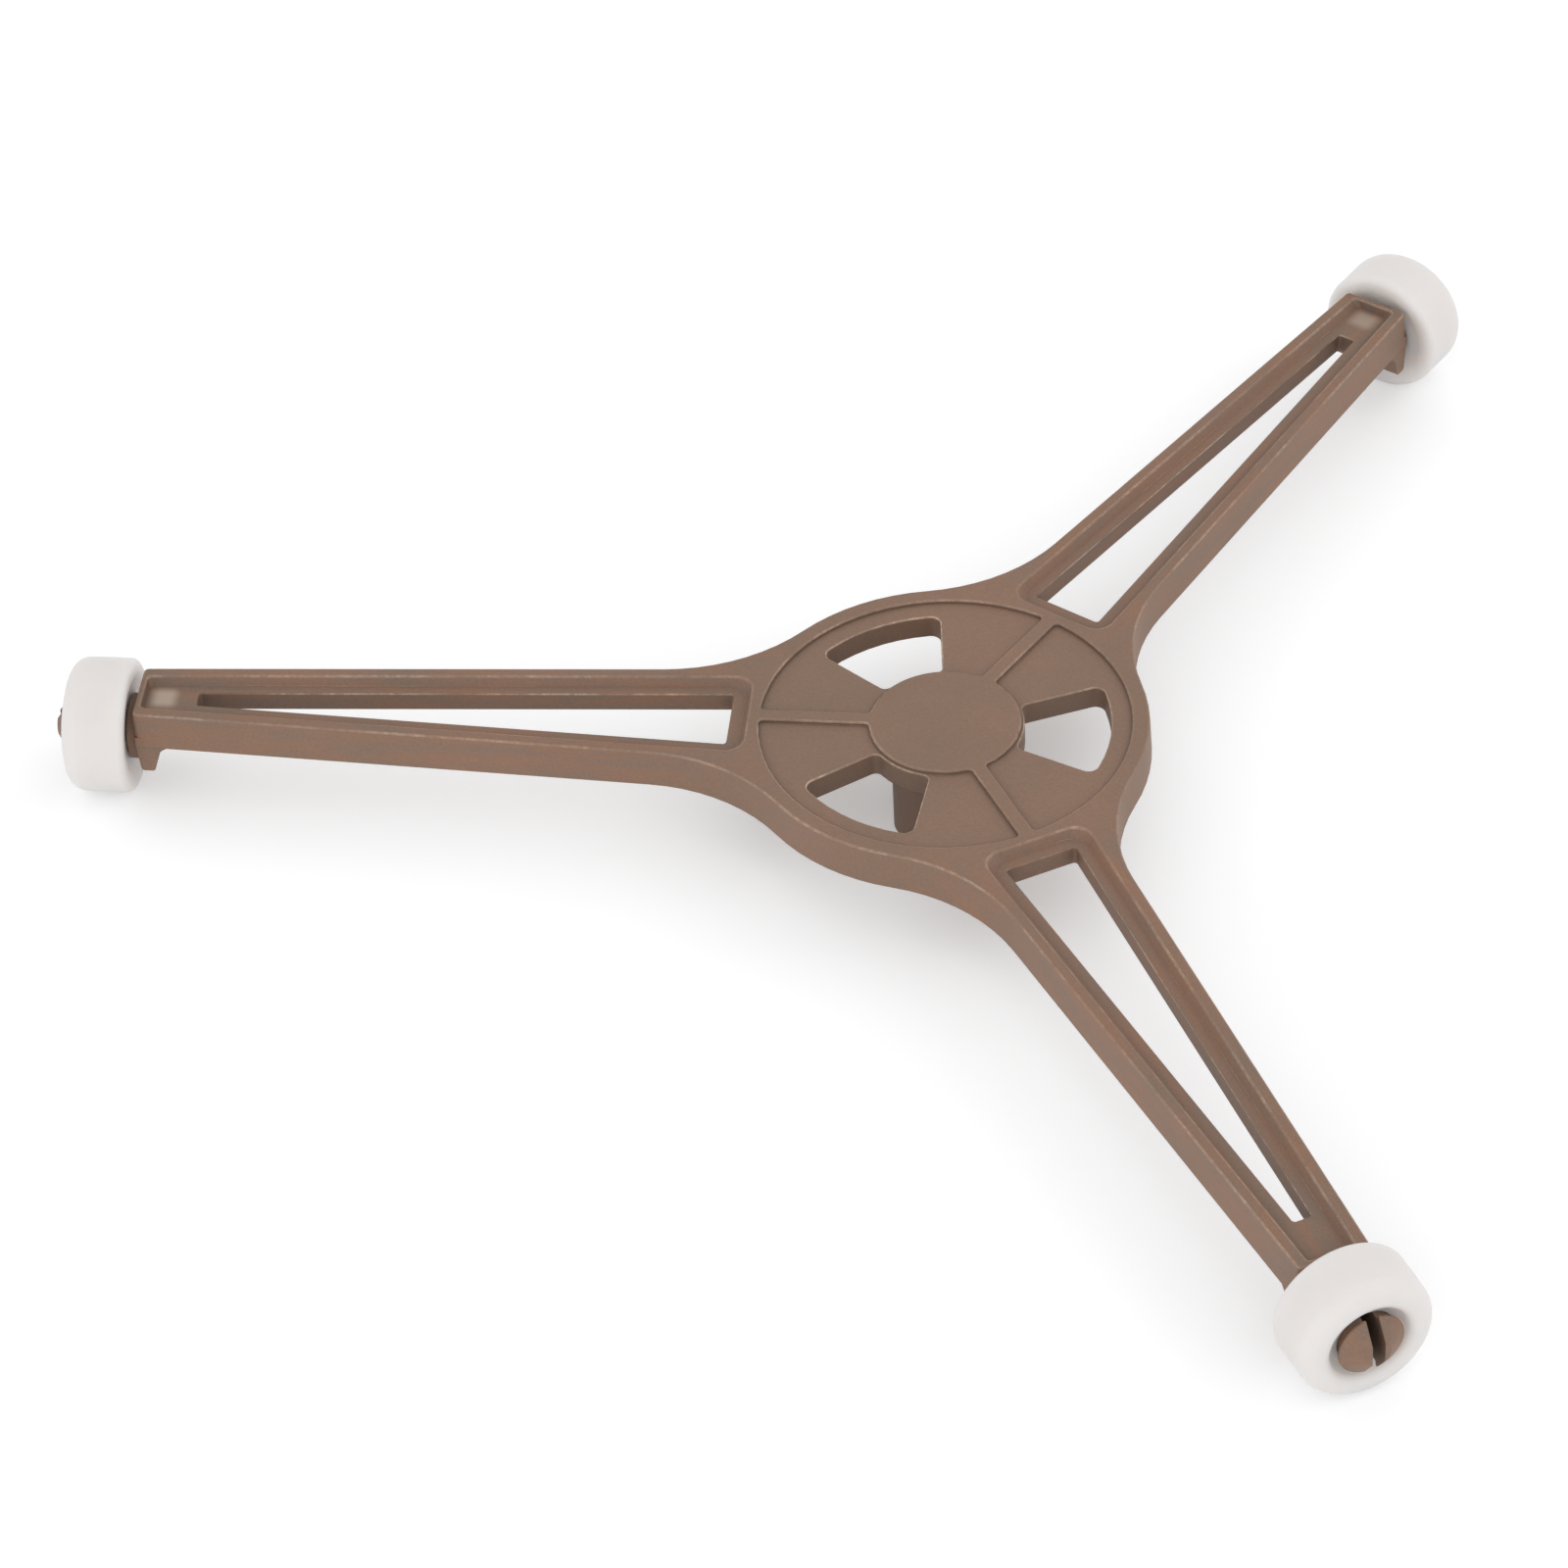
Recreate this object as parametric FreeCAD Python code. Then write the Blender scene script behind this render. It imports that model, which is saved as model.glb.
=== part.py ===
import FreeCAD, Part
import math
import os

# Turntable support of a microwave oven: one moulded three-armed spider and three push-on rollers.
# Millimetres. The origin is the mouth of the drive socket on the hub's axis, +Z is up, and the
# part runs on its rollers. Every arm is modelled along +X and then turned to its angle.

# Arms, anticlockwise from the left one and evenly spaced about the hub's axis
arm_names = ("left", "near", "far")
left_arm_angle = 180.0
arm_angles = {name: left_arm_angle + 360 * i / len(arm_names) for i, name in enumerate(arm_names)}

# Rollers
roller_diameter = 14.4
roller_width = 6.9
roller_outer_edge = 1.9
roller_inner_edge = 0.8
roller_rim_flat = 0.15
outer_dish_depth = 1.3
inner_dish_depth = 0.5
roller_bore = 6.1
bore_land = 0.15

# Fits between a roller and its pin
shaft_clearance = 0.08
rim_gap = 0.75
collar_gap = 0.2
barb_gap = 0.85
collar_room = 0.35

# Snap pins
collar_step = 0.45
barb_catch = 0.45
barb_back = 0.15
barb_band = 0.2
barb_nose_length = 1.5
barb_nose_radius = 1.35
pin_slot_width = 1.35
pin_slot_length = 6.6

# Heights, each measured down from the top of the rim
body_depth = 4.35
axle_drop = 4.85
panel_depth = 0.4
pocket_depth = 0.85
plate_depth = 3.1
foot_drop = 7.7
floor_clearance = 0.45

# Hub
hub_radius = 21.45
hub_blend_radius = 20.0
panel_radius = 19.6
disc_radius = 8.05
rib_width = 1.65
panel_corner_radius = 0.5
window_outer_ledge = 2.15
window_inner_ledge = 0.3
window_span = 47.0
window_outer_corner = 1.1
window_inner_corner = 0.8

# Arms
arm_end = 86.15
arm_root_station = 27.0
arm_root_width = 13.85
arm_end_width = 7.6
arm_corner_radius = 0.5
side_draft = 0.2
rim_width = 1.2
pocket_slope = 0.75
slot_ledge = 1.15
pocket_hub_station = 20.7
pocket_hub_corner = 2.0
pocket_end_corner = 0.5
end_wall = 0.6
end_wall_slope = 0.25
slot_hub_ledge = 1.3
slot_end_margin = 5.5
slot_corner_radius = 0.4

# Flange under the outline, and the foot under each arm's end
flange_width = 1.3
foot_tip_thickness = 1.45
foot_root_thickness = 2.4
foot_lean = 0.3
foot_fillet = 2.0
foot_tip_radius = 0.4
foot_seam_radius = 0.1

# Drive socket under the hub
socket_flat = 5.4
socket_corner_radius = 3.5
socket_bore = 7.2
socket_key_width = 1.5
socket_key_reach = 5.2
socket_crown = 2.3
socket_mouth_chamfer = 0.3

# Edge rounding
rim_fillet = 0.25
window_fillet = 0.15

# Heights in the part's frame
running_z = -floor_clearance
axle_z = running_z + roller_diameter / 2
rim_z = axle_z + axle_drop
under_z = rim_z - body_depth
panel_z = rim_z - panel_depth
pocket_z = rim_z - pocket_depth
plate_z = rim_z - plate_depth
foot_z = rim_z - foot_drop

# Radii of the roller's bore and of what runs in and beside it
bore_radius = roller_bore / 2
shaft_radius = bore_radius - shaft_clearance
collar_radius = bore_radius + collar_step
barb_radius = bore_radius + barb_catch

# Stations along an arm, outwards from the hub's axis
roller_inner = arm_end + rim_gap
roller_middle = roller_inner + roller_width / 2
roller_outer = roller_inner + roller_width
collar_face = roller_inner + inner_dish_depth - collar_gap
barb_station = roller_outer - outer_dish_depth + barb_gap
pin_tip = barb_station + barb_back + barb_band + barb_nose_length
recess_end = arm_end - foot_root_thickness - foot_fillet

UP = FreeCAD.Vector(0, 0, 1)
CENTRE = FreeCAD.Vector(0, 0, 0)
OVERRUN = 1.0
NEAR = 0.01


def turned(shape, angle):
    """The shape turned about the hub's axis."""
    copy = shape.copy()
    copy.rotate(CENTRE, UP, angle)
    return copy


def turned_point(point, angle):
    """The point turned about the hub's axis by an angle in radians."""
    return FreeCAD.Rotation(UP, math.degrees(angle)).multVec(point)


def arc(start, middle, end):
    """An edge along the circle through three points."""
    return Part.Arc(start, middle, end).toShape()


def rounded_loop(corners, place):
    """A closed wire through corners (a, b, radius), each rounded by a tangent arc.

    place turns a pair (a, b) into a point of the part.
    """
    points = [place(a, b) for a, b, _ in corners]
    arcs = []
    for i, (_, _, radius) in enumerate(corners):
        here = points[i]
        back = (points[i - 1] - here).normalize()
        ahead = (points[(i + 1) % len(points)] - here).normalize()
        half = back.getAngle(ahead) / 2
        run = radius / math.tan(half)
        inward = (back + ahead).normalize()
        middle = here + inward * (radius / math.sin(half) - radius)
        arcs.append((here + back * run, middle, here + ahead * run))
    edges = []
    for i, (start, middle, end) in enumerate(arcs):
        edges.append(arc(start, middle, end))
        edges.append(Part.makeLine(end, arcs[(i + 1) % len(arcs)][0]))
    return Part.Wire(edges)


def flat(z):
    """Places a pair (x, y) at height z."""
    return lambda x, y: FreeCAD.Vector(x, y, z)


def gap_angles():
    """The angles midway between neighbouring arms."""
    return [angle + 180 / len(arm_angles) for angle in sorted(arm_angles.values())]


def tapered(lower, upper):
    """A solid between two like wires, one above the other."""
    return Part.makeLoft([lower, upper], True, True)


def side_slope():
    """How fast an arm's half width changes along the arm."""
    return (arm_end_width - arm_root_width) / 2 / (arm_end - arm_root_station)


def half_width(station):
    """Half the arm's width at the rim, at a station."""
    return arm_root_width / 2 + side_slope() * (station - arm_root_station)


def outline(grow, end, corner, z):
    """The spider's plan at height z, offset outwards by grow, with its arms ending at a station.

    Each arm's sides run into the hub's circle by a concave blend.
    """
    slope = side_slope()
    stretch = math.hypot(1, slope)
    hub = hub_radius + grow
    blend = hub_blend_radius - grow
    side_at_axis = half_width(0) + grow * stretch
    offset = side_at_axis + blend * stretch
    a = 1 + slope * slope
    b = 2 * slope * offset
    c = offset * offset - (hub + blend) ** 2
    u = (-b + math.sqrt(b * b - 4 * a * c)) / (2 * a)
    centre = FreeCAD.Vector(u, offset + slope * u, 0)
    to_side = FreeCAD.Vector(slope, -1, 0).normalize()
    to_hub = (centre * -1).normalize()
    blend_start = centre + to_hub * blend
    blend_middle = centre + (to_side + to_hub).normalize() * blend
    blend_end = centre + to_side * blend

    tip = FreeCAD.Vector(end, side_at_axis + slope * end, 0)
    along = FreeCAD.Vector(-1, -slope, 0).normalize()
    across = FreeCAD.Vector(0, -1, 0)
    half = along.getAngle(across) / 2
    run = corner / math.tan(half)
    corner_start = tip + along * run
    corner_middle = tip + (along + across).normalize() * (corner / math.sin(half) - corner)
    corner_end = tip + across * run

    edges = []
    side = [blend_start, blend_middle, blend_end, corner_start, corner_middle, corner_end]
    sector = 2 * math.pi / len(arm_angles)
    hub_middle = FreeCAD.Vector(hub * math.cos(sector / 2), hub * math.sin(sector / 2), 0)
    next_start = turned_point(FreeCAD.Vector(blend_start.x, -blend_start.y, 0), sector)
    for angle in sorted(arm_angles.values()):
        turn = FreeCAD.Placement(FreeCAD.Vector(0, 0, z), FreeCAD.Rotation(UP, angle))
        left = [turn.multVec(p) for p in side]
        right = [turn.multVec(FreeCAD.Vector(p.x, -p.y, 0)) for p in side]
        following = turn.multVec(next_start)
        edges.append(arc(right[0], right[1], right[2]))
        edges.append(Part.makeLine(right[2], right[3]))
        edges.append(arc(right[3], right[4], right[5]))
        edges.append(Part.makeLine(right[5], left[5]))
        edges.append(arc(left[5], left[4], left[3]))
        edges.append(Part.makeLine(left[3], left[2]))
        edges.append(arc(left[2], left[1], left[0]))
        edges.append(arc(left[0], turn.multVec(hub_middle), following))
    return Part.Wire(edges)


def body():
    """The spider's drafted body, with its flanged underside hollowed up to the plate."""
    solid = tapered(outline(side_draft, arm_end, arm_corner_radius, under_z),
                    outline(0, arm_end, arm_corner_radius, rim_z))
    hollow = Part.Face(outline(-flange_width, recess_end, arm_corner_radius, under_z - OVERRUN))
    return solid.cut(hollow.extrude(UP * (plate_z - under_z + OVERRUN)))


def trough(inset, hub_end, far_end, hub_corner, end_corner, z):
    """The plan of an arm's pocket or slot at height z, inset from the arm's sides."""
    near, far = half_width(hub_end) - inset, half_width(far_end) - inset
    return rounded_loop([(hub_end, -near, hub_corner), (far_end, -far, end_corner),
                         (far_end, far, end_corner), (hub_end, near, hub_corner)], flat(z))


def arm_cuts():
    """The sloping pocket on an arm's top and the long slot through its web."""
    above = rim_z + OVERRUN
    steep = OVERRUN / pocket_depth
    floor_hub = pocket_hub_station + pocket_slope
    floor_end = arm_end - end_wall - end_wall_slope
    pocket = tapered(
        trough(rim_width + pocket_slope, floor_hub, floor_end,
               pocket_hub_corner, pocket_end_corner, pocket_z),
        trough(rim_width - pocket_slope * steep, pocket_hub_station - pocket_slope * steep,
               arm_end - end_wall + end_wall_slope * steep, pocket_hub_corner, pocket_end_corner, above))
    slot = Part.Face(trough(rim_width + pocket_slope + slot_ledge, floor_hub + slot_hub_ledge,
                            floor_end - slot_end_margin, slot_corner_radius, slot_corner_radius,
                            under_z - OVERRUN))
    return [pocket, slot.extrude(UP * (body_depth + 2 * OVERRUN))]


def ring(inner, outer, z, height):
    """A flat ring about the hub's axis."""
    return Part.makeCylinder(outer, height, UP * z).cut(Part.makeCylinder(inner, height, UP * z))


def upright_edges(solid, low, high):
    """The straight vertical edges of a solid whose distance from the axis lies between two radii."""
    found = []
    for edge in solid.Edges:
        box = edge.BoundBox
        distance = math.hypot(box.Center.x, box.Center.y)
        if box.XLength < NEAR and box.YLength < NEAR and low < distance < high:
            found.append(edge)
    return found


def panels():
    """The three shallow panels between the ribs, one to each gap between the arms."""
    annulus = ring(disc_radius, panel_radius, panel_z, panel_depth + OVERRUN)
    ribs = [turned(Part.makeBox(hub_radius, rib_width, panel_depth + 3 * OVERRUN,
                                FreeCAD.Vector(0, -rib_width / 2, panel_z - OVERRUN)), angle)
            for angle in arm_angles.values()]
    return [solid.makeFillet(panel_corner_radius, upright_edges(solid, 0, hub_radius))
            for solid in annulus.cut(ribs).Solids]


def window():
    """One fan-shaped window with radial sides, midway between two arms."""
    inner = disc_radius + window_inner_ledge
    outer = panel_radius - window_outer_ledge
    height = body_depth + 2 * OVERRUN
    low = under_z - OVERRUN
    start = 180 / len(arm_angles) - window_span / 2
    fan = turned(Part.makeCylinder(outer, height, UP * low, UP, window_span), start)
    fan = fan.cut(Part.makeCylinder(inner, height, UP * low))
    middle = (inner + outer) / 2
    fan = fan.makeFillet(window_inner_corner, upright_edges(fan, 0, middle))
    return fan.makeFillet(window_outer_corner, upright_edges(fan, middle, hub_radius))


def foot():
    """The end plate's lower part, wide as the arm and thinning downwards."""
    wide = half_width(arm_end) + side_draft
    tip_face = arm_end - foot_lean
    inner_root = arm_end - foot_root_thickness
    seam = foot_seam_radius
    corners = [(arm_end, plate_z, seam),
               (recess_end, plate_z, seam),
               (recess_end, under_z, seam),
               (inner_root, under_z - seam, foot_fillet),
               (tip_face - foot_tip_thickness, foot_z, foot_tip_radius),
               (tip_face, foot_z, foot_tip_radius),
               (arm_end, under_z - seam, seam)]
    profile = rounded_loop(corners, lambda u, z: FreeCAD.Vector(u, -wide, z))
    return Part.Face(profile).extrude(FreeCAD.Vector(0, 2 * wide, 0))


def snap_pin():
    """The collar, shaft and split barbed head that carry one roller."""
    root = arm_end - foot_tip_thickness / 2
    nose = barb_station + barb_back + barb_band
    profile = [(root, 0), (root, collar_radius),
               (collar_face, collar_radius), (collar_face, shaft_radius),
               (barb_station, shaft_radius), (barb_station + barb_back, barb_radius),
               (nose, barb_radius), (pin_tip, barb_nose_radius), (pin_tip, 0)]
    points = [FreeCAD.Vector(u, 0, axle_z + r) for u, r in profile]
    half = Part.Face(Part.makePolygon(points + points[:1]))
    pin = half.revolve(FreeCAD.Vector(0, 0, axle_z), FreeCAD.Vector(1, 0, 0), 360)
    slot_start = pin_tip - pin_slot_length
    slot = Part.makeBox(pin_slot_length + OVERRUN, pin_slot_width, 4 * barb_radius,
                        FreeCAD.Vector(slot_start, -pin_slot_width / 2, axle_z - 2 * barb_radius))
    return pin.cut(slot)


def socket():
    """The rounded three-sided boss under the hub, its flats square to the arms."""
    reach = 2 * socket_flat
    corners = []
    for angle in gap_angles():
        turn = math.radians(angle)
        corners.append((reach * math.cos(turn), reach * math.sin(turn), socket_corner_radius))
    boss = Part.Face(rounded_loop(corners, flat(0))).extrude(UP * plate_z)
    mouth = [edge for edge in boss.Edges if edge.BoundBox.ZMax < NEAR]
    return boss.makeChamfer(socket_mouth_chamfer, mouth)


def socket_cut():
    """The socket's blind bore with three keyways towards the boss's corners."""
    depth = rim_z - socket_crown + OVERRUN
    cut = Part.makeCylinder(socket_bore / 2, depth, UP * -OVERRUN)
    key = Part.makeBox(socket_key_reach, socket_key_width, depth,
                       FreeCAD.Vector(0, -socket_key_width / 2, -OVERRUN))
    for angle in gap_angles():
        cut = cut.fuse(turned(key, angle))
    return cut.removeSplitter()


def brink_edges(solid, z):
    """The edges that lie flat at height z with a wall falling away from them."""
    found = []
    for edge in solid.Edges:
        level = abs(edge.BoundBox.ZMin - z) < NEAR and abs(edge.BoundBox.ZMax - z) < NEAR
        faces = solid.ancestorsOfType(edge, Part.Face)
        if level and any(face.BoundBox.ZMin < z - NEAR for face in faces):
            found.append(edge)
    return found


def spider():
    """The moulded spider in one piece."""
    end = foot().fuse(snap_pin())
    solid = body()
    for angle in arm_angles.values():
        solid = solid.fuse(turned(end, angle))
    solid = solid.fuse(socket()).removeSplitter()
    cuts = [turned(piece, angle) for angle in arm_angles.values() for piece in arm_cuts() + [window()]]
    for piece in cuts + panels() + [socket_cut()]:
        solid = solid.cut(piece)
    solid = solid.removeSplitter().Solids[0]
    solid = solid.makeFillet(rim_fillet, brink_edges(solid, rim_z))
    return solid.makeFillet(window_fillet, brink_edges(solid, panel_z))


def roller_face(side, land, edge, dish):
    """One face of the roller's half section as edges, from the bore out to the tread.

    The face falls from its flat rim in a convex arc and runs out on the bore's land in a concave one.
    """
    tread = roller_diameter / 2
    face = roller_width / 2
    floor = face - dish
    rim = tread - edge - roller_rim_flat
    run = (rim - land) / 2
    turn = 2 * math.atan(dish / 2 / run)
    radius = run / math.sin(turn)
    part_run = radius * math.sin(turn / 2)
    part_fall = radius * (1 - math.cos(turn / 2))
    slant = edge * (1 - math.sqrt(0.5))

    def place(x, r):
        return FreeCAD.Vector(side * x, 0, r)

    middle = place((floor + face) / 2, land + run)
    shoulder = place(face, tread - edge)
    return [Part.makeLine(place(floor, bore_radius), place(floor, land)),
            arc(place(floor, land), place(floor + part_fall, land + part_run), middle),
            arc(middle, place(face - part_fall, rim - part_run), place(face, rim)),
            Part.makeLine(place(face, rim), shoulder),
            arc(shoulder, place(face - slant, tread - slant), place(face - edge, tread))]


def roller():
    """A roller about the X axis, centred on its width, its outer face towards +X."""
    outer = roller_face(1, bore_radius + bore_land, roller_outer_edge, outer_dish_depth)
    inner = roller_face(-1, collar_radius + collar_room, roller_inner_edge, inner_dish_depth)
    tread = Part.makeLine(inner[-1].lastVertex().Point, outer[-1].lastVertex().Point)
    bore = Part.makeLine(inner[0].firstVertex().Point, outer[0].firstVertex().Point)
    loop = Part.Wire(Part.__sortEdges__(outer + inner + [tread, bore]))
    return Part.Face(loop).revolve(CENTRE, FreeCAD.Vector(1, 0, 0), 360)


os.makedirs("parts", exist_ok=True)
spider().exportStep("parts/spider.step")
blank = roller()
blank.translate(FreeCAD.Vector(roller_middle, 0, axle_z))
for name, angle in arm_angles.items():
    turned(blank, angle).exportStep(f"parts/roller_{name}.step")
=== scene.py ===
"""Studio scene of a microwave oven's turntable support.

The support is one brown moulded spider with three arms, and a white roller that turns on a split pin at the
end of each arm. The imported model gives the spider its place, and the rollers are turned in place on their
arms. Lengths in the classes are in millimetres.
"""

import logging
import math
from dataclasses import dataclass
from enum import Enum
from typing import Any

import bpy
from mathutils import Matrix, Vector


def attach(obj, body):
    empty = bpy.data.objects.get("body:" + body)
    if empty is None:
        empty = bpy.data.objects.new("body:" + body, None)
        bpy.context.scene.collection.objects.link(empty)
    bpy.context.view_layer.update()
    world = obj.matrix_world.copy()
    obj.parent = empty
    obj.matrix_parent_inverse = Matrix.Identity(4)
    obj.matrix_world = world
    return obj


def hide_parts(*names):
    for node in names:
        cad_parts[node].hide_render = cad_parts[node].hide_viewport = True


MM = 0.001
WHITE = (1.0, 1.0, 1.0, 1.0)

log = logging.getLogger("turntable_support")
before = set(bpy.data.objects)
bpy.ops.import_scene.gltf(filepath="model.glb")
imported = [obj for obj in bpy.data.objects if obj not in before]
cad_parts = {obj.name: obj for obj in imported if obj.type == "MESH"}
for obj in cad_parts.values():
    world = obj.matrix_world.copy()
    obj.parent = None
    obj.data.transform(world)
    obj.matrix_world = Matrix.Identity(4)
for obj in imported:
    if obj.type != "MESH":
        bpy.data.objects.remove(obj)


class Arm(Enum):
    """The spider's arms, each by its angle in degrees about the hub's axis."""

    LEFT = 180.0
    FAR = 60.0
    NEAR = -60.0

    @property
    def roller(self) -> str:
        """Name of the body and node of the roller on this arm."""
        return f"roller_{self.name.lower()}"


class Slot(Enum):
    """The record's material slots; the pieces made here don't take them."""

    ROLLER = "roller_plastic"


def linear(colour: str) -> tuple[float, float, float, float]:
    """Turns an sRGB hex colour into linear light.

    Args:
        colour: six hex digits, with or without a leading hash.

    Returns:
        Red, green, blue and an alpha of 1.
    """
    text = colour.lstrip("#")
    parts = [int(text[i : i + 2], 16) / 255 for i in (0, 2, 4)]
    red, green, blue = [p / 12.92 if p <= 0.04045 else ((p + 0.055) / 1.055) ** 2.4 for p in parts]
    return red, green, blue, 1.0


def add(
    tree: bpy.types.NodeTree, kind: str, inputs: dict[str | int, Any] | None = None, **settings: Any
) -> bpy.types.Node:
    """Adds a node to a tree, with its settings, values and links.

    Args:
        tree: the tree that gets the node.
        kind: the node's type, such as ShaderNodeMath.
        inputs: a value or another node's output for each named or numbered input.
        settings: the node's own properties.

    Returns:
        The new node.
    """
    node = tree.nodes.new(kind)
    for name, value in settings.items():
        setattr(node, name, value)
    for key, value in (inputs or {}).items():
        if isinstance(value, bpy.types.NodeSocket):
            tree.links.new(value, node.inputs[key])
        else:
            node.inputs[key].default_value = value
    return node


def blank_material(name: str) -> tuple[bpy.types.Material, bpy.types.NodeTree]:
    """Makes a material with an empty tree.

    Args:
        name: the material's name.

    Returns:
        The material and its tree.
    """
    material = bpy.data.materials.new(name)
    material.use_nodes = True
    material.node_tree.nodes.clear()
    return material, material.node_tree


def blend(tree: bpy.types.NodeTree, share: Any, under: Any, over: Any) -> bpy.types.NodeSocket:
    """Mixes two colours.

    Args:
        tree: the tree that gets the mix.
        share: how much of the upper colour shows, a value or a node's output.
        under: the lower colour, linear, or a node's output.
        over: the upper colour, linear, or a node's output.

    Returns:
        The mixed colour.
    """
    mix = add(tree, "ShaderNodeMix", data_type="RGBA")
    for socket, given in zip((mix.inputs[0], mix.inputs[6], mix.inputs[7]), (share, under, over)):
        if isinstance(given, bpy.types.NodeSocket):
            tree.links.new(given, socket)
        else:
            socket.default_value = given
    return mix.outputs[2]


def in_millimetres(tree: bpy.types.NodeTree) -> bpy.types.NodeSocket:
    """Gives the shaded point's coordinates on the object.

    Args:
        tree: the material's tree.

    Returns:
        The point in millimetres.
    """
    local = add(tree, "ShaderNodeTexCoord").outputs["Object"]
    return add(tree, "ShaderNodeVectorMath", {0: local, "Scale": 1 / MM}, operation="SCALE").outputs[0]


@dataclass(frozen=True)
class Place:
    """Where the shaded point lies: its coordinates, and its place in the nearest arm's own axes."""

    point: bpy.types.NodeSocket
    radius: bpy.types.NodeSocket
    along: bpy.types.NodeSocket
    across: bpy.types.NodeSocket
    height: bpy.types.NodeSocket


def find_place(tree: bpy.types.NodeTree) -> Place:
    """Works out where the shaded point lies on the spider.

    Args:
        tree: the material's tree.

    Returns:
        The place, in millimetres.
    """
    point = in_millimetres(tree)
    level = add(tree, "ShaderNodeVectorMath", {0: point, 1: (1.0, 1.0, 0.0)}, operation="MULTIPLY").outputs[0]
    radius = add(tree, "ShaderNodeVectorMath", {0: level}, operation="LENGTH").outputs["Value"]
    axes = add(tree, "ShaderNodeSeparateXYZ", {"Vector": point}).outputs
    bearing = add(tree, "ShaderNodeMath", {0: axes["Y"], 1: axes["X"]}, operation="ARCTAN2").outputs[0]
    first = math.radians(Arm.LEFT.value)
    turn = add(tree, "ShaderNodeMath", {0: bearing, 1: first}, operation="SUBTRACT").outputs[0]
    half = math.pi / len(Arm)
    turn = add(tree, "ShaderNodeMath", {0: turn, 1: half, 2: -half}, operation="WRAP").outputs[0]
    share_along = add(tree, "ShaderNodeMath", {0: turn}, operation="COSINE").outputs[0]
    share_across = add(tree, "ShaderNodeMath", {0: turn}, operation="SINE").outputs[0]
    along = add(tree, "ShaderNodeMath", {0: radius, 1: share_along}, operation="MULTIPLY").outputs[0]
    across = add(tree, "ShaderNodeMath", {0: radius, 1: share_across}, operation="MULTIPLY").outputs[0]
    return Place(point, radius, along, across, axes["Z"])


@dataclass(frozen=True)
class Zone:
    """A part of the surface, between two heights, two radii and no further than side from an arm's axis."""

    low: float
    high: float
    inner: float
    outer: float
    side: float
    strength: float


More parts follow.
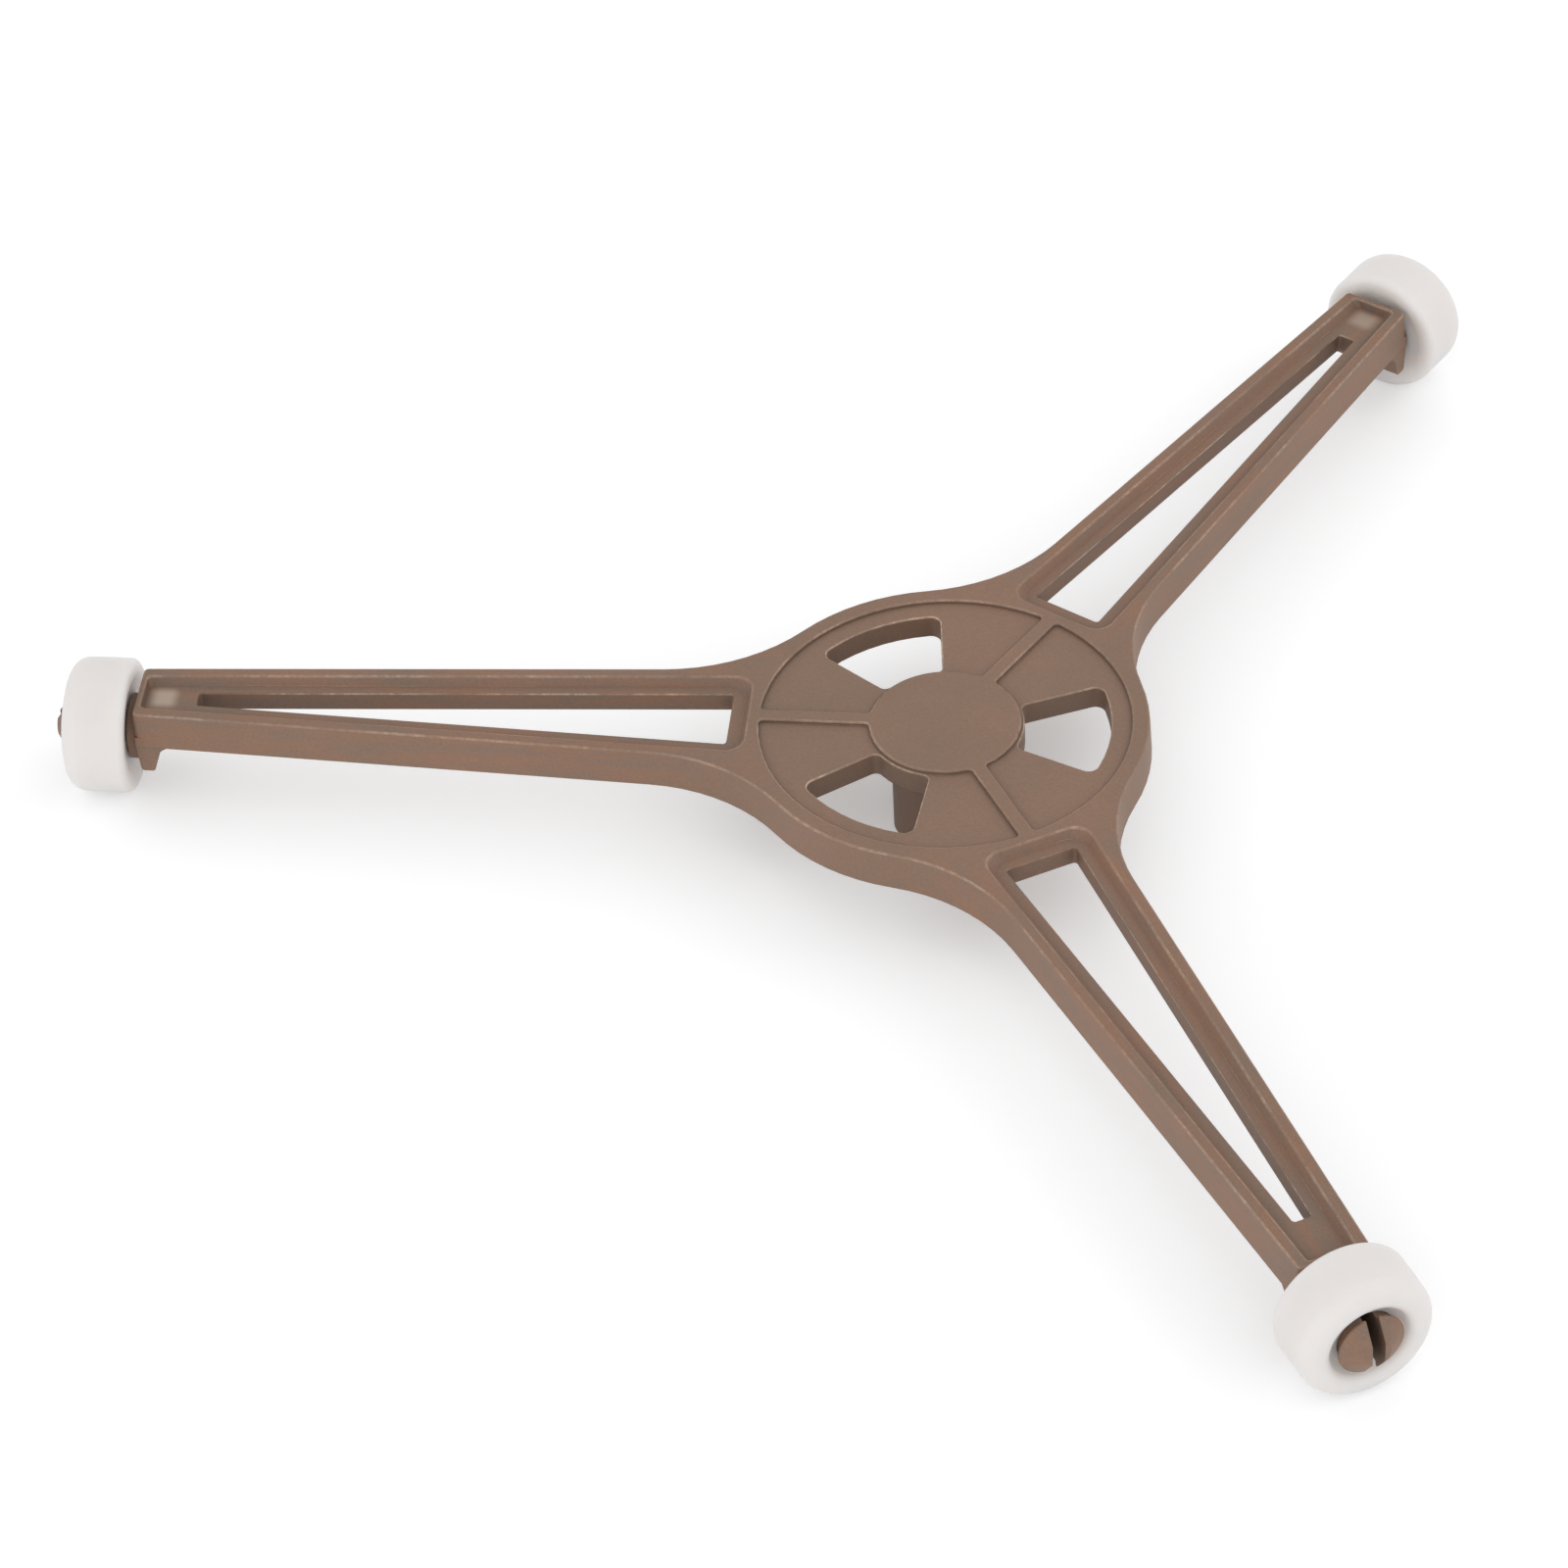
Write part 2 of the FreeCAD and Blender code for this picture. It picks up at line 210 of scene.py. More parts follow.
@dataclass(frozen=True)
class SparkErodedPPS:
    """Brown glass-filled PPS, moulded in a spark-eroded tool.

    The eye sees a dry matte brown with an even fine grain, slow changes of tone and faint streaks where
    the melt flowed. Painted shade darkens the inner corners and the deep walls, and paler broken lines on the
    rounded edges are partly painted highlight and partly rubbed edges where the filler shows.
    """

    colour: str = "#846753"
    tone_light: str = "#936C55"
    tone_dark: str = "#74604D"
    streak_warm: str = "#966343"
    streak_grey: str = "#706357"
    # painted shade: the colour laid into the inner corners and on the deep walls
    corner: str = "#3C2A20"
    # pale edge lines: partly painted highlight, partly rubbed edges where the filler shows
    scuff: str = "#DDC0A8"
    rubbed: str = "#B3A08F"
    roughness: float = 0.6
    roughness_spread: float = 0.08
    ior: float = 1.64
    grain: float = 0.3  # the real grain is about 0.1 mm; drawn coarser so that it shows
    grain_height: float = 0.012
    grain_range: tuple[float, float] = (0.25, 0.75)
    grain_tone: tuple[float, float] = (0.88, 1.12)
    flow_length: float = 18.0
    flow_range: tuple[float, float] = (0.3, 0.7)
    flow_share: float = 0.45
    streak_length: float = 11.0
    streak_width: float = 1.3
    streak_range: tuple[float, float] = (0.36, 0.64)
    streak_share: float = 0.34
    streak_start: tuple[float, float] = (17.0, 27.0)
    corner_reach: float = 3.0
    corner_curve: float = 0.8
    corner_strength: float = 0.85
    edge_softness: float = 0.12
    edge_tilt: tuple[float, float] = (0.995, 0.97)
    zone_fade: float = 0.03
    scuff_length: float = 0.65
    scuff_range: tuple[float, float] = (0.4, 0.68)
    scuff_least: float = 0.3
    stretch_length: float = 8.0
    stretch_range: tuple[float, float] = (0.4, 0.58)
    stretch_least: float = 0.35

    def material(self, spider: "Spider") -> bpy.types.Material:
        """Builds the material.

        Args:
            spider: the piece whose sizes place the pale edge lines, the painted wall shade and the rubbed
                patches.

        Returns:
            The material.
        """
        material, tree = blank_material("spark_eroded_brown_pps")
        place = find_place(tree)
        grain = add(
            tree,
            "ShaderNodeTexNoise",
            {"Vector": place.point, "Scale": 1 / self.grain, "Detail": 2.0, "Roughness": 0.6},
        ).outputs["Fac"]

        colour = self._flow(tree, place, grain)
        # painted shade: the inner corners by open sky, the deep walls by zone
        wall_shade_mask = self._in_zones(tree, place, spider.dull_walls)
        painted_shade_mask = add(tree, "ShaderNodeMath", {0: self._inner_corners(tree), 1: wall_shade_mask}, operation="MAXIMUM")
        colour = blend(tree, painted_shade_mask.outputs[0], colour, linear(self.corner))
        # painted highlight along the rounded edges, with rubbed filler
        colour = blend(tree, self._scuffs(tree, place, spider), colour, linear(self.scuff))
        colour = blend(tree, self._rubbed_patches(tree, place, spider), colour, linear(self.rubbed))

        low, high = self.roughness - self.roughness_spread, self.roughness + self.roughness_spread
        rough = add(tree, "ShaderNodeMapRange", {"Value": grain, "To Min": low, "To Max": high})
        soft_edge = add(tree, "ShaderNodeBevel", {"Radius": self.edge_softness * MM}, samples=4)
        bump = add(
            tree,
            "ShaderNodeBump",
            {"Height": grain, "Distance": self.grain_height * MM, "Normal": soft_edge.outputs["Normal"]},
        )
        shader = add(
            tree,
            "ShaderNodeBsdfPrincipled",
            {
                "Base Color": colour,
                "Roughness": rough.outputs[0],
                "IOR": self.ior,
                "Normal": bump.outputs["Normal"],
            },
        )
        add(tree, "ShaderNodeOutputMaterial", {"Surface": shader.outputs["BSDF"]})
        return material

    def _flow(
        self, tree: bpy.types.NodeTree, place: Place, grain: bpy.types.NodeSocket
    ) -> bpy.types.NodeSocket:
        """Lays down the brown, with the melt's changes of tone, its streaks and the grain's specks.

        Args:
            tree: the material's tree.
            place: where the shaded point lies.
            grain: the grain's height from 0 to 1.

        Returns:
            The colour.
        """
        flow = add(
            tree,
            "ShaderNodeTexNoise",
            {"Vector": place.point, "Scale": 1 / self.flow_length, "Detail": 4.0, "Roughness": 0.6},
        ).outputs["Fac"]
        low, high = self.flow_range
        tone = add(tree, "ShaderNodeMapRange", {"Value": flow, "From Min": low, "From Max": high})
        tones = blend(tree, tone.outputs[0], linear(self.tone_dark), linear(self.tone_light))
        base = blend(tree, self.flow_share, linear(self.colour), tones)

        drawn = add(tree, "ShaderNodeCombineXYZ", {"X": place.along, "Y": place.across, "Z": place.height})
        scale = (1 / self.streak_length, 1 / self.streak_width, 1 / self.streak_width)
        drawn = add(tree, "ShaderNodeVectorMath", {0: drawn.outputs[0], 1: scale}, operation="MULTIPLY")
        streak = add(
            tree,
            "ShaderNodeTexNoise",
            {"Vector": drawn.outputs[0], "Scale": 1.0, "Detail": 3.0, "Roughness": 0.6},
        ).outputs["Fac"]
        low, high = self.streak_range
        hue = add(tree, "ShaderNodeMapRange", {"Value": streak, "From Min": low, "From Max": high})
        streaks = blend(tree, hue.outputs[0], linear(self.streak_grey), linear(self.streak_warm))
        start, full = self.streak_start
        share = add(
            tree,
            "ShaderNodeMapRange",
            {"Value": place.radius, "From Min": start, "From Max": full, "To Max": self.streak_share},
            interpolation_type="SMOOTHSTEP",
        )
        base = blend(tree, share.outputs[0], base, streaks)

        low, high = self.grain_range
        dark, light = self.grain_tone
        speck = add(
            tree,
            "ShaderNodeMapRange",
            {"Value": grain, "From Min": low, "From Max": high, "To Min": dark, "To Max": light},
        ).outputs[0]
        return add(tree, "ShaderNodeVectorMath", {0: base, "Scale": speck}, operation="SCALE").outputs[0]

    def _inner_corners(self, tree: bpy.types.NodeTree) -> bpy.types.NodeSocket:
        """Marks the inner corners for painted shade, by how little open sky they see.

        Args:
            tree: the material's tree.

        Returns:
            A mask from 0 to 1.
        """
        open_sky = add(
            tree,
            "ShaderNodeAmbientOcclusion",
            {"Distance": self.corner_reach * MM},
            samples=8,
            only_local=True,
        ).outputs["AO"]
        closed = add(tree, "ShaderNodeMath", {0: 1.0, 1: open_sky}, operation="SUBTRACT").outputs[0]
        gentle = add(tree, "ShaderNodeMath", {0: closed, 1: self.corner_curve}, operation="POWER").outputs[0]
        return add(
            tree, "ShaderNodeMath", {0: gentle, 1: self.corner_strength}, operation="MULTIPLY"
        ).outputs[0]

    def _within(
        self, tree: bpy.types.NodeTree, value: bpy.types.NodeSocket, low: float, high: float
    ) -> bpy.types.NodeSocket:
        """Marks where a length lies between two others.

        Args:
            tree: the material's tree.
            value: the length.
            low: the least that is inside.
            high: the most that is inside.

        Returns:
            1 inside and 0 outside, with a short fade.
        """
        off = add(tree, "ShaderNodeMath", {0: value, 1: (low + high) / 2}, operation="SUBTRACT").outputs[0]
        distance = add(tree, "ShaderNodeMath", {0: off}, operation="ABSOLUTE").outputs[0]
        half = (high - low) / 2
        return add(
            tree,
            "ShaderNodeMapRange",
            {"Value": distance, "From Min": half, "From Max": half - self.zone_fade},
            interpolation_type="SMOOTHSTEP",
        ).outputs[0]

    def _in_zones(
        self, tree: bpy.types.NodeTree, place: Place, zones: tuple[Zone, ...]
    ) -> bpy.types.NodeSocket:
        """Marks what lies in any of some zones, each as strongly as it says.

        Args:
            tree: the material's tree.
            place: where the shaded point lies.
            zones: the zones.

        Returns:
            A mask from 0 to 1.
        """
        marked: bpy.types.NodeSocket | float = 0.0
        for zone in zones:
            inside: bpy.types.NodeSocket | float = zone.strength
            for value, low, high in (
                (place.height, zone.low, zone.high),
                (place.radius, zone.inner, zone.outer),
                (place.across, -zone.side, zone.side),
            ):
                part = self._within(tree, value, low, high)
                inside = add(tree, "ShaderNodeMath", {0: inside, 1: part}, operation="MULTIPLY").outputs[0]
            marked = add(tree, "ShaderNodeMath", {0: marked, 1: inside}, operation="MAXIMUM").outputs[0]
        return marked

    def _scuffs(self, tree: bpy.types.NodeTree, place: Place, spider: "Spider") -> bpy.types.NodeSocket:
        """Marks the rounded edges in the spider's edge zones, broken up along their length, for pale lines
        that are partly painted highlight and partly rubbed filler.

        Args:
            tree: the material's tree.
            place: where the shaded point lies.
            spider: the piece whose edges get the pale lines.

        Returns:
            A mask from 0 to 1.
        """
        facing = add(tree, "ShaderNodeTexCoord").outputs["Normal"]
        upward = add(tree, "ShaderNodeSeparateXYZ", {"Vector": facing}).outputs["Z"]
        level, tilted = self.edge_tilt
        rounded = add(tree, "ShaderNodeMapRange", {"Value": upward, "From Min": level, "From Max": tilted})
        breaks = add(
            tree,
            "ShaderNodeTexNoise",
            {"Vector": place.point, "Scale": 1 / self.scuff_length, "Detail": 4.0, "Roughness": 0.75},
        ).outputs["Fac"]
        low, high = self.scuff_range
        broken = add(
            tree,
            "ShaderNodeMapRange",
            {"Value": breaks, "From Min": low, "From Max": high, "To Min": self.scuff_least},
        )
        stretches = add(
            tree,
            "ShaderNodeTexNoise",
            {"Vector": place.point, "Scale": 1 / self.stretch_length, "Detail": 2.0},
        ).outputs["Fac"]
        low, high = self.stretch_range
        worst = add(
            tree,
            "ShaderNodeMapRange",
            {"Value": stretches, "From Min": low, "From Max": high, "To Min": self.stretch_least},
            interpolation_type="SMOOTHSTEP",
        )
        mask = self._in_zones(tree, place, spider.rubbed_edges)
        for part in (rounded, broken, worst):
            mask = add(tree, "ShaderNodeMath", {0: mask, 1: part.outputs[0]}, operation="MULTIPLY").outputs[0]
        return mask

    def _rubbed_patches(
        self, tree: bpy.types.NodeTree, place: Place, spider: "Spider"
    ) -> bpy.types.NodeSocket:
        """Marks the pale patch on a pocket's floor beyond its slot, on the arms that have one.

        Args:
            tree: the material's tree.
            place: where the shaded point lies.
            spider: the piece whose sizes place the patches.

        Returns:
            A mask from 0 to 1.
        """
        centre = (spider.patch_station, 0.0, spider.pocket_floor)
        patches: bpy.types.NodeSocket | float = 0.0
        for arm, strength in spider.rubbed_arms:
            local = add(
                tree,
                "ShaderNodeVectorRotate",
                {"Vector": place.point, "Angle": -math.radians(arm.value)},
                rotation_type="Z_AXIS",
            ).outputs[0]
            off = add(tree, "ShaderNodeVectorMath", {0: local, 1: centre}, operation="SUBTRACT").outputs[0]
            away = add(tree, "ShaderNodeVectorMath", {0: off}, operation="ABSOLUTE").outputs[0]
            axes = add(tree, "ShaderNodeSeparateXYZ", {"Vector": away}).outputs
            inside: bpy.types.NodeSocket | float = strength
            for axis, half in zip(axes, spider.patch_half):
                edge, full = half + spider.patch_fade, half - spider.patch_fade
                fade = add(
                    tree,
                    "ShaderNodeMapRange",
                    {"Value": axis, "From Min": edge, "From Max": full},
                    interpolation_type="SMOOTHSTEP",
                ).outputs[0]
                inside = add(tree, "ShaderNodeMath", {0: inside, 1: fade}, operation="MULTIPLY").outputs[0]
            patches = add(tree, "ShaderNodeMath", {0: patches, 1: inside}, operation="MAXIMUM").outputs[0]
        return patches


@dataclass(frozen=True)
class MouldedPTFE:
    """White PTFE, moulded and lightly polished by running.

    The eye sees a waxy off-white with soft edges to its shadows, because light goes a little way in, and a
    broad dull sheen.
    """

    colour: str = "#EBE7E5"
    tone: str = "#E5E1DE"
    roughness: float = 0.42
    roughness_spread: float = 0.06
    ior: float = 1.38
    depth: float = 3.0
    depth_of_each: tuple[float, float, float] = (1.0, 0.85, 0.7)  # of red, green and blue light
    translucency: float = 0.75
    cloud: float = 5.0
    ripple: float = 0.5
    ripple_height: float = 0.006

    def material(self) -> bpy.types.Material:
        """Builds the material.

        Returns:
            The material.
        """
        material, tree = blank_material("moulded_white_ptfe")
        point = in_millimetres(tree)
        cloud = add(tree, "ShaderNodeTexNoise", {"Vector": point, "Scale": 1 / self.cloud, "Detail": 3.0})
        ripple = add(
            tree, "ShaderNodeTexNoise", {"Vector": point, "Scale": 1 / self.ripple, "Detail": 2.0}
        ).outputs["Fac"]
        colour = blend(tree, cloud.outputs["Fac"], linear(self.colour), linear(self.tone))
        low, high = self.roughness - self.roughness_spread, self.roughness + self.roughness_spread
        rough = add(tree, "ShaderNodeMapRange", {"Value": ripple, "To Min": low, "To Max": high})
        bump = add(
            tree,
            "ShaderNodeBump",
            {"Height": ripple, "Distance": self.ripple_height * MM, "Strength": 1.0},
        )
        shader = add(
            tree,
            "ShaderNodeBsdfPrincipled",
            {
                "Base Color": colour,
                "Roughness": rough.outputs[0],
                "IOR": self.ior,
                "Subsurface Weight": self.translucency,
                "Subsurface Radius": self.depth_of_each,
                "Subsurface Scale": self.depth * MM,
                "Normal": bump.outputs["Normal"],
            },
        )
        add(tree, "ShaderNodeOutputMaterial", {"Surface": shader.outputs["BSDF"]})
        return material


@dataclass(frozen=True)
class Paper:
    """Matte white paper, swept under the object.

    The camera sees it lifted to white where it lies open, and its shadows stay.
    """

    colour: str = "#F1F2F3"
    lift: float = 0.27

    def material(self) -> bpy.types.Material:
        """Builds the material.

        Returns:
            The material.
        """
        material, tree = blank_material("white_paper")
        paper = add(tree, "ShaderNodeBsdfDiffuse", {"Color": linear(self.colour), "Roughness": 0.0})
        path = add(tree, "ShaderNodeLightPath")
        seen = add(
            tree,
            "ShaderNodeMath",
            {0: path.outputs["Is Camera Ray"], 1: path.outputs["Is Glossy Ray"]},
            operation="MAXIMUM",
        )
        seen = add(
            tree,
            "ShaderNodeMath",
            {0: seen.outputs[0], 1: path.outputs["Is Transmission Ray"]},
            operation="MAXIMUM",
        )
        strength = add(tree, "ShaderNodeMath", {0: seen.outputs[0], 1: self.lift}, operation="MULTIPLY")
        glow = add(tree, "ShaderNodeEmission", {"Color": WHITE, "Strength": strength.outputs[0]})
        both = add(tree, "ShaderNodeAddShader", {0: paper.outputs[0], 1: glow.outputs[0]})
        add(tree, "ShaderNodeOutputMaterial", {"Surface": both.outputs[0]})
        return material


@dataclass
class Spider:
    """The brown moulding. The CAD node has its shape, and gets its finish here.

    The pale edges, partly painted highlight and partly rubbed, are the rim's, the windows' and the slots'.
    The walls with painted shade are the windows', the slots' and the drive boss's.
    """

    node: str = "spider"
    # edges with pale lines of painted highlight and wear
    rubbed_edges: tuple[Zone, ...] = (
        Zone(low=11.4, high=11.7, inner=-1.0, outer=100.0, side=100.0, strength=0.42),
        Zone(low=11.0, high=11.24, inner=6.0, outer=18.0, side=18.0, strength=1.0),
        Zone(low=10.5, high=10.78, inner=20.5, outer=79.9, side=4.1, strength=1.0),
    )
    # painted shade on the deep walls, where little light reaches
    dull_walls: tuple[Zone, ...] = (
        Zone(low=8.5, high=11.05, inner=8.0, outer=18.0, side=18.0, strength=0.3),
        Zone(low=8.0, high=10.55, inner=20.5, outer=79.9, side=4.1, strength=0.15),
        Zone(low=-1.0, high=8.55, inner=3.0, outer=12.0, side=12.0, strength=0.35),
    )
    rubbed_arms: tuple[tuple[Arm, float], ...] = ((Arm.LEFT, 0.9), (Arm.FAR, 0.6))
    pocket_floor: float = 10.75
    patch_station: float = 83.4
    patch_half: tuple[float, float, float] = (1.2, 1.3, 1.0)
    patch_fade: float = 0.7

    def mesh(self) -> bpy.types.Object:
        """Takes the CAD node as it is.

        Returns:
            The node's object.
        """
        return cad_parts[self.node]

    def dress(self, piece: bpy.types.Object, finish: SparkErodedPPS) -> None:
        """Gives the moulding its finish.

        Args:
            piece: the moulding.
            finish: what it is moulded in.
        """
        piece.data.materials.clear()
        piece.data.materials.append(finish.material(self))


@dataclass
class Roller:
    """A white roller, turned by Geometry Nodes from its half section."""

    arm: Arm
    diameter: float = 14.4
    width: float = 6.9
    outer_edge: float = 1.9
    inner_edge: float = 0.8
    rim_flat: float = 0.15
    outer_dish: float = 1.3
    inner_dish: float = 0.5
    bore: float = 6.1
    outer_land: float = 3.2
    inner_land: float = 3.85
    bore_edge: float = 0.08
    sweep_share: float = 0.999  # a hair under the radius at which the two sweeps of a dish would meet
    station: float = 90.35
    axle_height: float = 6.75
    sweep_radius: float = 5.0
    steps_round: int = 128
    steps_corner: int = 8

    def section(self) -> list[tuple[float, float, float]]:
        """Lists the corners of the half section.

        Returns:
            For each corner its place along the axis, its radius and the radius of its rounding.
        """
        face = self.width / 2
        bore = self.bore / 2
        listed = []
        for side, land, edge, dish in (
            (1, self.outer_land, self.outer_edge, self.outer_dish),
            (-1, self.inner_land, self.inner_edge, self.inner_dish),
        ):
            floor = face - dish
            rim = self.diameter / 2 - edge - self.rim_flat
            run = (rim - land) / 2
            turn = 2 * math.atan(dish / 2 / run)
            sweep = run / math.sin(turn)
            tangent = sweep * math.tan(turn / 2)
            half = [
                (side * floor, bore, self.bore_edge),
                (side * floor, land + tangent, sweep * self.sweep_share),
                (side * face, rim - tangent, sweep * self.sweep_share),
                (side * face, self.diameter / 2, edge),
            ]
            listed += half if side > 0 else half[::-1]
        return listed

    def mesh(self, finish: bpy.types.Material) -> bpy.types.Object:
        """Builds the roller on its arm and dresses it.

        Args:
            finish: the rollers' material.

        Returns:
            The roller's object, a closed plain mesh.
        """
        section = self.section()
        wire = bpy.data.meshes.new(f"{self.arm.roller}_section")
        count = len(section)
        wire.from_pydata(
            [((radius - self.sweep_radius) * MM, -along * MM, 0.0) for along, radius, _ in section],
            [(i, (i + 1) % count) for i in range(count)],
            [],
        )
        rounding = wire.attributes.new("rounding", "FLOAT", "POINT")
        rounding.data.foreach_set("value", [rounding_radius * MM for _, _, rounding_radius in section])
        piece = bpy.data.objects.new(f"{self.arm.roller}_turned", wire)
        bpy.context.scene.collection.objects.link(piece)
        return bake_nodes(
            piece,
            lathe_tree(),
            {
                "Steps Round": self.steps_round,
                "Steps Corner": self.steps_corner,
                "Sweep Radius": self.sweep_radius * MM,
                "Station": self.station * MM,
                "Axle Height": self.axle_height * MM,
                "Arm Angle": math.radians(self.arm.value),
                "Material": finish,
            },
        )

    def seat(self, piece: bpy.types.Object) -> None:
        """Puts the dressed roller in its node's place.

        Args:
            piece: the roller.
        """
        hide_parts(self.arm.roller)
        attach(piece, self.arm.roller)


def lathe_tree() -> bpy.types.NodeTree:
    """Builds the node group that rounds a half section and turns it about an arm's axis.

    Returns:
        The group, made once and shared.
    """
    name = "turned_on_arm"
    if name in bpy.data.node_groups:
        return bpy.data.node_groups[name]
    tree = bpy.data.node_groups.new(name, "GeometryNodeTree")
    sockets = tree.interface
    sockets.new_socket("Section", in_out="INPUT", socket_type="NodeSocketGeometry")
    sockets.new_socket("Steps Round", in_out="INPUT", socket_type="NodeSocketInt")
    sockets.new_socket("Steps Corner", in_out="INPUT", socket_type="NodeSocketInt")
    sockets.new_socket("Sweep Radius", in_out="INPUT", socket_type="NodeSocketFloat")
    sockets.new_socket("Station", in_out="INPUT", socket_type="NodeSocketFloat")
    sockets.new_socket("Axle Height", in_out="INPUT", socket_type="NodeSocketFloat")
    sockets.new_socket("Arm Angle", in_out="INPUT", socket_type="NodeSocketFloat")
    sockets.new_socket("Material", in_out="INPUT", socket_type="NodeSocketMaterial")
    sockets.new_socket("Roller", in_out="OUTPUT", socket_type="NodeSocketGeometry")
    given = add(tree, "NodeGroupInput").outputs

    rounding = add(tree, "GeometryNodeInputNamedAttribute", {"Name": "rounding"}, data_type="FLOAT")
    wire = add(tree, "GeometryNodeMeshToCurve", {0: given["Section"]})
    rounded = add(
        tree,
        "GeometryNodeFilletCurve",
        {"Curve": wire.outputs[0], "Radius": rounding.outputs[0], "Count": given["Steps Corner"]},
        mode="POLY",
    )
    ring = add(
        tree,
        "GeometryNodeCurvePrimitiveCircle",
        {"Resolution": given["Steps Round"], "Radius": given["Sweep Radius"]},
    )
    swept = add(
        tree, "GeometryNodeCurveToMesh", {"Curve": ring.outputs[0], "Profile Curve": rounded.outputs[0]}
    )
    seat = add(tree, "ShaderNodeCombineXYZ", {"X": given["Station"], "Z": given["Axle Height"]})
    lie_down = add(tree, "FunctionNodeEulerToRotation", {0: (0.0, math.pi / 2, 0.0)})
    seated = add(
        tree,
        "GeometryNodeTransform",
        {"Geometry": swept.outputs[0], "Translation": seat.outputs[0], "Rotation": lie_down.outputs[0]},
    )
    about_hub = add(tree, "ShaderNodeCombineXYZ", {"Z": given["Arm Angle"]})
    turn = add(tree, "FunctionNodeEulerToRotation", {0: about_hub.outputs[0]})
    turned = add(tree, "GeometryNodeTransform", {"Geometry": seated.outputs[0], "Rotation": turn.outputs[0]})
    smooth = add(tree, "GeometryNodeSetShadeSmooth", {"Geometry": turned.outputs[0]})
    real = add(tree, "GeometryNodeRealizeInstances", {"Geometry": smooth.outputs[0]})
    finish = add(
        tree, "GeometryNodeSetMaterial", {"Geometry": real.outputs[0], "Material": given["Material"]}
    )
    add(tree, "NodeGroupOutput", {0: finish.outputs[0]})
    return tree


def bake_nodes(
    piece: bpy.types.Object, tree: bpy.types.NodeTree, values: dict[str, Any]
) -> bpy.types.Object:
    """Runs a node group on a piece and keeps the result as its plain mesh.

    Args:
        piece: the object whose mesh goes in.
        tree: the group to run.
        values: a value for each of the group's named inputs.

    Returns:
        The same object, with the finished mesh and no modifier.
    """
    modifier = piece.modifiers.new(tree.name, "NODES")
    modifier.node_group = tree
    for item in tree.interface.items_tree:
        if item.name in values:
            modifier[item.identifier] = values[item.name]
    evaluated = piece.evaluated_get(bpy.context.evaluated_depsgraph_get())
    finished = bpy.data.meshes.new_from_object(evaluated)
    piece.modifiers.remove(modifier)
    piece.data = finished
    return piece


@dataclass
class Camera:
    """The photographer's camera: a long lens that looks down on the hub."""

    azimuth: float = 8.013
    elevation: float = 41.752
    roll: float = -3.192
    distance: float = 599.635
    target: tuple[float, float, float] = (-15.877, -10.871, 11.6)
    lens: float = 132.703
    sensor: float = 36.0
    clip: tuple[float, float] = (50.0, 20000.0)

    def place(self) -> bpy.types.Object:
        """Sets the camera up and makes it the scene's.

        Returns:
            The camera's object.
        """
        azimuth, elevation, roll = (math.radians(a) for a in (self.azimuth, self.elevation, self.roll))
        right = Vector((math.cos(azimuth), math.sin(azimuth), 0.0))
        level = Vector((math.sin(azimuth), -math.cos(azimuth), 0.0))
        back = level * math.cos(elevation) + Vector((0.0, 0.0, math.sin(elevation)))
        up = back.cross(right)
        turned_right = right * math.cos(roll) + up * math.sin(roll)
        turned_up = up * math.cos(roll) - right * math.sin(roll)
        data = bpy.data.cameras.new("camera")
        data.lens = self.lens
        data.sensor_width = self.sensor
        data.clip_start, data.clip_end = (distance * MM for distance in self.clip)
        camera = bpy.data.objects.new("camera", data)
        axes = Matrix((turned_right, turned_up, back)).transposed().to_4x4()
        camera.matrix_world = Matrix.Translation((Vector(self.target) + back * self.distance) * MM) @ axes
        bpy.context.scene.collection.objects.link(camera)
        bpy.context.scene.camera = camera
        return camera


@dataclass
class Softbox:
    """A square area lamp that points at the hub."""

    name: str
    side: float
    place: tuple[float, float, float]
    power: float

    def hang(self) -> bpy.types.Object:
        """Hangs the lamp.

        Returns:
            The lamp's object.
        """
        data = bpy.data.lights.new(self.name, "AREA")
        data.shape = "SQUARE"
        data.size = self.side * MM
        data.energy = self.power
        lamp = bpy.data.objects.new(self.name, data)
        lamp.location = Vector(self.place) * MM
        lamp.rotation_mode = "QUATERNION"
        lamp.rotation_quaternion = lamp.location.normalized().to_track_quat("Z", "Y")
        bpy.context.scene.collection.objects.link(lamp)
        return lamp


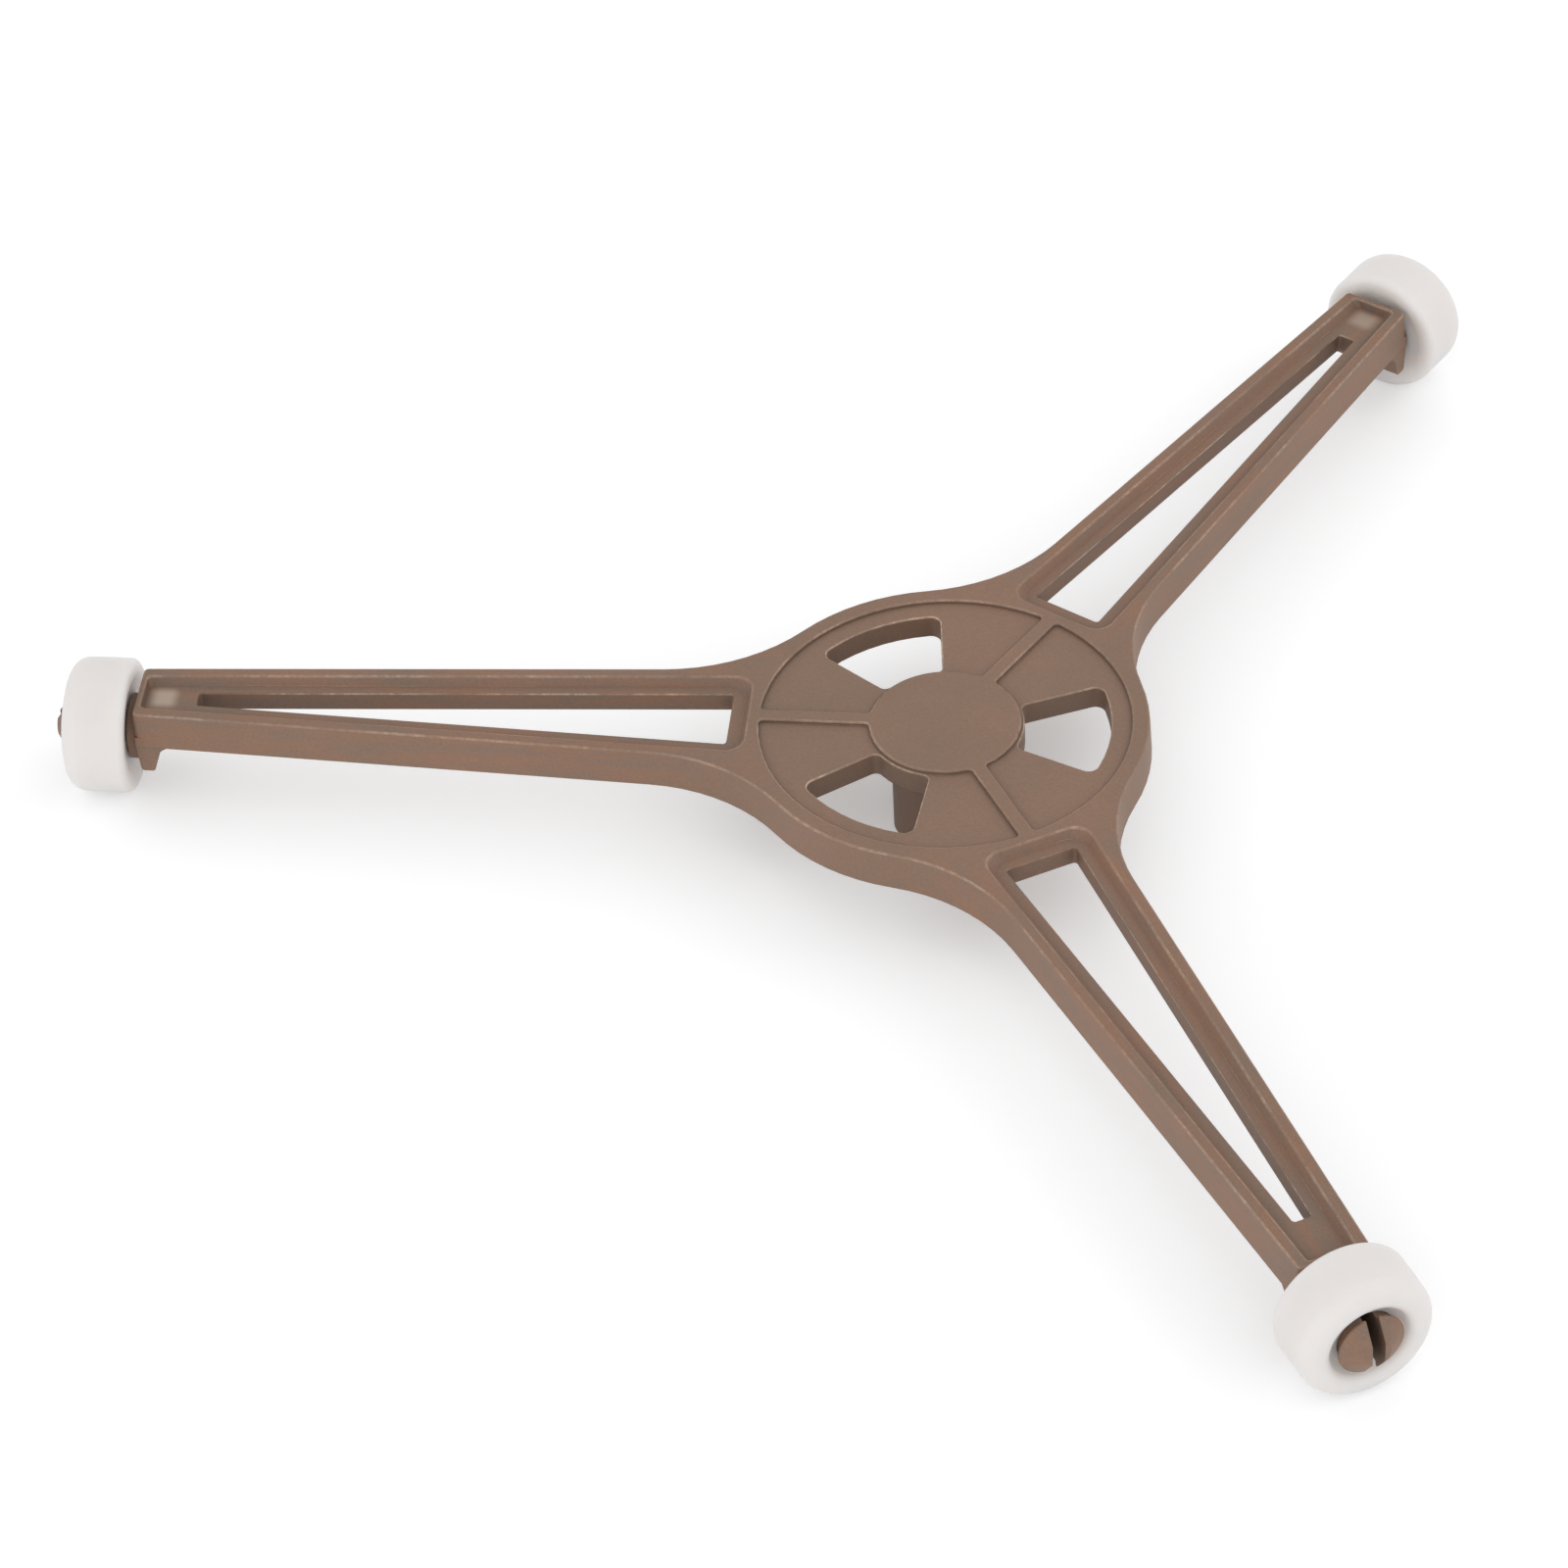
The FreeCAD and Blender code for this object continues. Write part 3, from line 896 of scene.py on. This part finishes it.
@dataclass
class Studio:
    """White paper under the object in an even white room, with weak soft lamps in front and to the right."""

    floor_height: float = -0.45
    floor_half: float = 3000.0
    room_light: float = 0.83
    lamps: tuple[Softbox, ...] = (
        Softbox("right", 400.0, (450.0, 100.0, 350.0), 0.3),
        Softbox("front", 500.0, (100.0, -760.0, 260.0), 0.46),
        Softbox("front_left", 500.0, (-500.0, -600.0, 300.0), 0.62),
    )

    def build(self) -> None:
        """Lays the floor, hangs the lamps and lights the room."""
        half, height = self.floor_half * MM, self.floor_height * MM
        sheet = bpy.data.meshes.new("floor")
        sheet.from_pydata(
            [(-half, -half, height), (half, -half, height), (half, half, height), (-half, half, height)],
            [],
            [(0, 1, 2, 3)],
        )
        floor = bpy.data.objects.new("floor", sheet)
        sheet.materials.append(Paper().material())
        bpy.context.scene.collection.objects.link(floor)
        for lamp in self.lamps:
            lamp.hang()
        world = bpy.data.worlds.new("white_room")
        world.use_nodes = True
        tree = world.node_tree
        tree.nodes.clear()
        path = add(tree, "ShaderNodeLightPath")
        strength = add(
            tree,
            "ShaderNodeMix",
            {"Factor": path.outputs["Is Camera Ray"], "A": self.room_light, "B": 1.0},
            data_type="FLOAT",
        )
        room = add(tree, "ShaderNodeBackground", {"Color": WHITE, "Strength": strength.outputs["Result"]})
        add(tree, "ShaderNodeOutputWorld", {"Surface": room.outputs[0]})
        bpy.context.scene.world = world


def main() -> None:
    """Builds and dresses every piece in order, then sets up the studio."""
    logging.basicConfig(level=logging.INFO, format="%(name)s: %(message)s")
    bpy.context.scene.view_settings.view_transform = "Standard"
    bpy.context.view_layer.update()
    Camera().place()

    spider = Spider()
    moulding = spider.mesh()
    spider.dress(moulding, SparkErodedPPS())
    log.info("spider: %d faces, %s", len(moulding.data.polygons), moulding.data.materials[0].name)

    white = MouldedPTFE().material()
    for arm in Arm:
        roller = Roller(arm)
        piece = roller.mesh(white)
        roller.seat(piece)
        log.info("%s: %d faces, %s", piece.name, len(piece.data.polygons), piece.data.materials[0].name)

    Studio().build()
    log.info("size file written")


if __name__ == "__main__":
    main()
